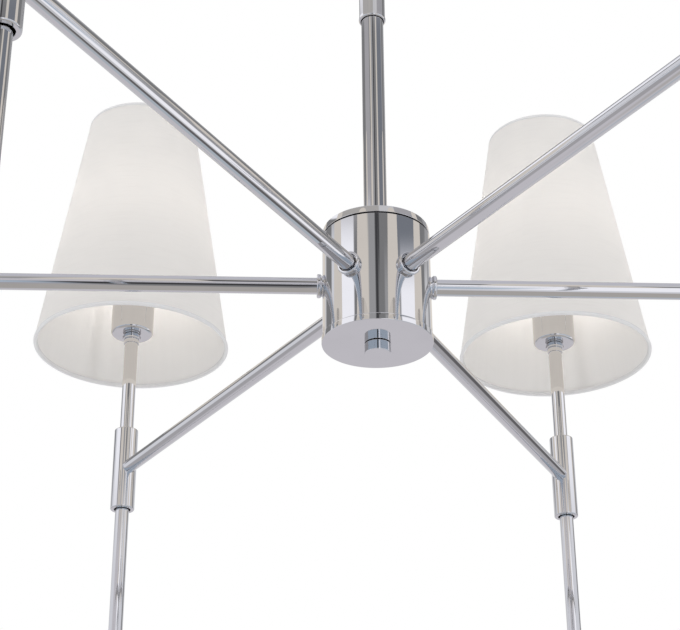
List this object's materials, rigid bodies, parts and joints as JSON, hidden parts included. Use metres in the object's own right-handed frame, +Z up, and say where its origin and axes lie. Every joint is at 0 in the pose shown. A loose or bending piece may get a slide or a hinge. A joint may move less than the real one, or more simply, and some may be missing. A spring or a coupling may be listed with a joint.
{
  "type": "chandelier",
  "caption": "Hanging chandelier: chromed arms spread from a drum hub to upright stems, each with a tapered white fabric shade, hung on a rod from a round canopy.",
  "frame": {"origin": "middle of the mounting bracket's top face, where it bears on the ceiling", "axes": "+Z up, away from the lamp; +X along arm_1 (arms 2 to 6 follow counter-clockwise from above, at 62, 120, 180, 238 and 300 degrees)"},
  "size_m": [0.834, 0.7481, 0.765],
  "materials": {
    "chrome_tube": "polished chrome plate on steel tube",
    "chrome_hub": "mirror chrome plate on turned steel",
    "chrome_cup": "mirror chrome plate, warm reflections of the lit shade",
    "chrome_base": "flat mirror chrome plate under the hub",
    "zinc_steel": "zinc plated steel",
    "white_plastic": "moulded white heat-proof plastic, semi-gloss",
    "shade_fabric": "fine plain-weave white fabric on a stiff translucent liner",
    "bulb_glass": "opal glass lamp"
  },
  "bodies": {
    "root": {"mounting_bracket": "zinc_steel", "upper_rod": "chrome_tube", "rod_joiner": "chrome_tube", "lower_rod": "chrome_tube", "hub_cap": "chrome_hub", "hub_shell": "chrome_hub", "hub_base": "chrome_base", "hub_nut": "zinc_steel", "tie_rod": "zinc_steel", "collar_1": "chrome_tube", "collar_2": "chrome_tube", "collar_3": "chrome_tube", "collar_4": "chrome_tube", "collar_5": "chrome_tube", "collar_6": "chrome_tube", "arm_1": "chrome_tube", "arm_2": "chrome_tube", "arm_3": "chrome_tube", "arm_4": "chrome_tube", "arm_5": "chrome_tube", "arm_6": "chrome_tube", "stem_1": "chrome_tube", "stem_2": "chrome_tube", "stem_3": "chrome_tube", "stem_4": "chrome_tube", "stem_5": "chrome_tube", "stem_6": "chrome_tube", "cup_1": "chrome_cup", "cup_2": "chrome_cup", "cup_3": "chrome_cup", "cup_4": "chrome_cup", "cup_5": "chrome_cup", "cup_6": "chrome_cup", "lampholder_1": "white_plastic", "lampholder_2": "white_plastic", "lampholder_3": "white_plastic", "lampholder_4": "white_plastic", "lampholder_5": "white_plastic", "lampholder_6": "white_plastic"},
    "canopy": {"canopy": "chrome_hub", "canopy_collar": "chrome_hub"},
    "finial": {"finial": "chrome_hub"},
    "shade_1": {"shade_1": "shade_fabric"},
    "shade_ring_1": {"shade_ring_1": "white_plastic"},
    "bulb_1": {"bulb_1": "bulb_glass"},
    "shade_2": {"shade_2": "shade_fabric"},
    "shade_ring_2": {"shade_ring_2": "white_plastic"},
    "bulb_2": {"bulb_2": "bulb_glass"},
    "shade_3": {"shade_3": "shade_fabric"},
    "shade_ring_3": {"shade_ring_3": "white_plastic"},
    "bulb_3": {"bulb_3": "bulb_glass"},
    "shade_4": {"shade_4": "shade_fabric"},
    "shade_ring_4": {"shade_ring_4": "white_plastic"},
    "bulb_4": {"bulb_4": "bulb_glass"},
    "shade_5": {"shade_5": "shade_fabric"},
    "shade_ring_5": {"shade_ring_5": "white_plastic"},
    "bulb_5": {"bulb_5": "bulb_glass"},
    "shade_6": {"shade_6": "shade_fabric"},
    "shade_ring_6": {"shade_ring_6": "white_plastic"},
    "bulb_6": {"bulb_6": "bulb_glass"}
  },
  "joints": [
    {"name": "canopy_drop", "type": "slide", "parent": "root", "child": "canopy", "axis": [0, 0, -1], "range_m": [0, 0.15]},
    {"name": "finial_turn", "type": "hinge", "parent": "root", "child": "finial", "pos_m": [0, 0, -0.6014], "axis": [0, 0, -1], "range_deg": [0, 1800]},
    {"name": "shade_turn_1", "type": "hinge", "parent": "root", "child": "shade_1", "pos_m": [0.342, 0, -0.415], "axis": [0, 0, 1], "continuous": true},
    {"name": "shade_ring_turn_1", "type": "hinge", "parent": "root", "child": "shade_ring_1", "pos_m": [0.342, 0, -0.41], "axis": [0, 0, 1], "range_deg": [0, 1080]},
    {"name": "bulb_turn_1", "type": "hinge", "parent": "root", "child": "bulb_1", "pos_m": [0.342, 0, -0.4], "axis": [0, 0, 1], "range_deg": [0, 900]},
    {"name": "shade_turn_2", "type": "hinge", "parent": "root", "child": "shade_2", "pos_m": [0.16056, 0.30197, -0.415], "axis": [0, 0, 1], "continuous": true},
    {"name": "shade_ring_turn_2", "type": "hinge", "parent": "root", "child": "shade_ring_2", "pos_m": [0.16056, 0.30197, -0.41], "axis": [0, 0, 1], "range_deg": [0, 1080]},
    {"name": "bulb_turn_2", "type": "hinge", "parent": "root", "child": "bulb_2", "pos_m": [0.16056, 0.30197, -0.4], "axis": [0, 0, 1], "range_deg": [0, 900]},
    {"name": "shade_turn_3", "type": "hinge", "parent": "root", "child": "shade_3", "pos_m": [-0.171, 0.29618, -0.415], "axis": [0, 0, 1], "continuous": true},
    {"name": "shade_ring_turn_3", "type": "hinge", "parent": "root", "child": "shade_ring_3", "pos_m": [-0.171, 0.29618, -0.41], "axis": [0, 0, 1], "range_deg": [0, 1080]},
    {"name": "bulb_turn_3", "type": "hinge", "parent": "root", "child": "bulb_3", "pos_m": [-0.171, 0.29618, -0.4], "axis": [0, 0, 1], "range_deg": [0, 900]},
    {"name": "shade_turn_4", "type": "hinge", "parent": "root", "child": "shade_4", "pos_m": [-0.342, 0, -0.415], "axis": [0, 0, 1], "continuous": true},
    {"name": "shade_ring_turn_4", "type": "hinge", "parent": "root", "child": "shade_ring_4", "pos_m": [-0.342, 0, -0.41], "axis": [0, 0, 1], "range_deg": [0, 1080]},
    {"name": "bulb_turn_4", "type": "hinge", "parent": "root", "child": "bulb_4", "pos_m": [-0.342, 0, -0.4], "axis": [0, 0, 1], "range_deg": [0, 900]},
    {"name": "shade_turn_5", "type": "hinge", "parent": "root", "child": "shade_5", "pos_m": [-0.18123, -0.29003, -0.415], "axis": [0, 0, 1], "continuous": true},
    {"name": "shade_ring_turn_5", "type": "hinge", "parent": "root", "child": "shade_ring_5", "pos_m": [-0.18123, -0.29003, -0.41], "axis": [0, 0, 1], "range_deg": [0, 1080]},
    {"name": "bulb_turn_5", "type": "hinge", "parent": "root", "child": "bulb_5", "pos_m": [-0.18123, -0.29003, -0.4], "axis": [0, 0, 1], "range_deg": [0, 900]},
    {"name": "shade_turn_6", "type": "hinge", "parent": "root", "child": "shade_6", "pos_m": [0.171, -0.29618, -0.415], "axis": [0, 0, 1], "continuous": true},
    {"name": "shade_ring_turn_6", "type": "hinge", "parent": "root", "child": "shade_ring_6", "pos_m": [0.171, -0.29618, -0.41], "axis": [0, 0, 1], "range_deg": [0, 1080]},
    {"name": "bulb_turn_6", "type": "hinge", "parent": "root", "child": "bulb_6", "pos_m": [0.171, -0.29618, -0.4], "axis": [0, 0, 1], "range_deg": [0, 900]}
  ]
}
